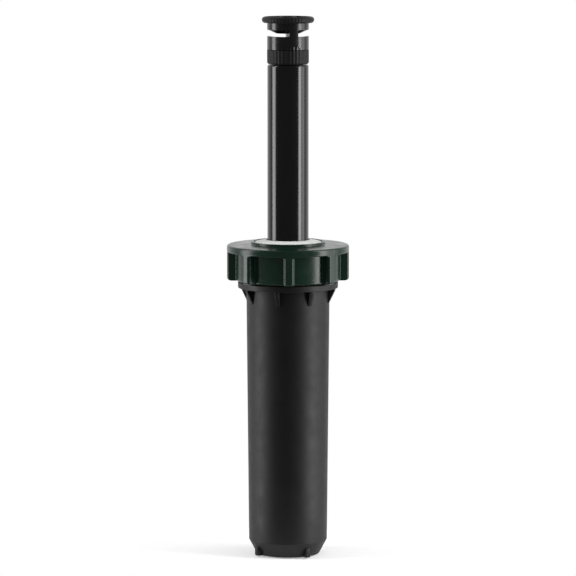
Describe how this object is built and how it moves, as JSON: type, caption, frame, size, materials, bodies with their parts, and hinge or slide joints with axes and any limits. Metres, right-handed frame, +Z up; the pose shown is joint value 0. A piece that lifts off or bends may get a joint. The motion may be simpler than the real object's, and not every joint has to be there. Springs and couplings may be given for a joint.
{
  "type": "pop up sprinkler",
  "caption": "Pop-up spray sprinkler, riser up: tubular case with a female pipe inlet in its foot, lugged screw cap, sprung riser that turns, and an adjustable spray nozzle under a top disc.",
  "frame": {"origin": "centre of the case's foot, on the surface that it stands on", "axes": "+Z up along the riser, -Y towards the front"},
  "size_m": [0.058, 0.058, 0.256],
  "materials": {
    "case_plastic": "satin black with a fine moulded texture",
    "cap_plastic": "glossy dark green",
    "seal_white": "white, smooth",
    "seal_rubber": "black rubber",
    "inner_black": "plain black",
    "spring_steel": "drawn stainless wire",
    "inner_grey": "plain grey acetal",
    "riser_plastic": "polished black",
    "inner_natural": "undyed plastic",
    "nozzle_plastic": "satin black",
    "screw_steel": "turned stainless steel"
  },
  "bodies": {
    "case": {"case": "case_plastic", "cap": "cap_plastic", "seal_carrier": "seal_white", "wiper_lip": "seal_rubber", "seal_support_ring": "inner_black"},
    "ratchet": {"ratchet_ring": "inner_grey", "retract_spring": "spring_steel"},
    "riser": {"riser_tube": "riser_plastic", "heel_seal": "seal_rubber", "heel_seal_holder": "inner_natural", "filter_basket": "inner_natural", "nozzle_base": "nozzle_plastic", "nozzle_o_ring": "seal_rubber"},
    "deflector": {"deflector": "nozzle_plastic", "screw_o_ring": "seal_rubber"},
    "screw": {"radius_screw": "screw_steel"},
    "throttle": {"throttle_plug": "inner_natural"}
  },
  "joints": [
    {"name": "riser_slide", "type": "slide", "parent": "case", "child": "ratchet", "axis": [0, 0, 1], "range_m": [-0.1016, 0], "stiffness_N_per_m": 155, "springref_m": -0.137, "deforming": ["retract_spring"]},
    {"name": "riser_turn", "type": "hinge", "parent": "ratchet", "child": "riser", "pos_m": [0, 0, 0.1236], "axis": [0, 0, 1], "continuous": true},
    {"name": "arc_adjust", "type": "hinge", "parent": "riser", "child": "deflector", "pos_m": [0, 0, 0.2403], "axis": [0, 0, 1], "range_deg": [-300, 0]},
    {"name": "radius_turn", "type": "hinge", "parent": "riser", "child": "screw", "pos_m": [0, 0, 0.2404], "axis": [0, 0, 1], "range_deg": [-1440, 0]},
    {"name": "throttle_lift", "type": "slide", "parent": "riser", "child": "throttle", "axis": [0, 0, 1], "range_m": [0, 0.0028]}
  ],
  "couplings": [
    {"joint": "throttle_lift", "follows": "radius_turn", "m_per_rad": -0.00011141}
  ]
}
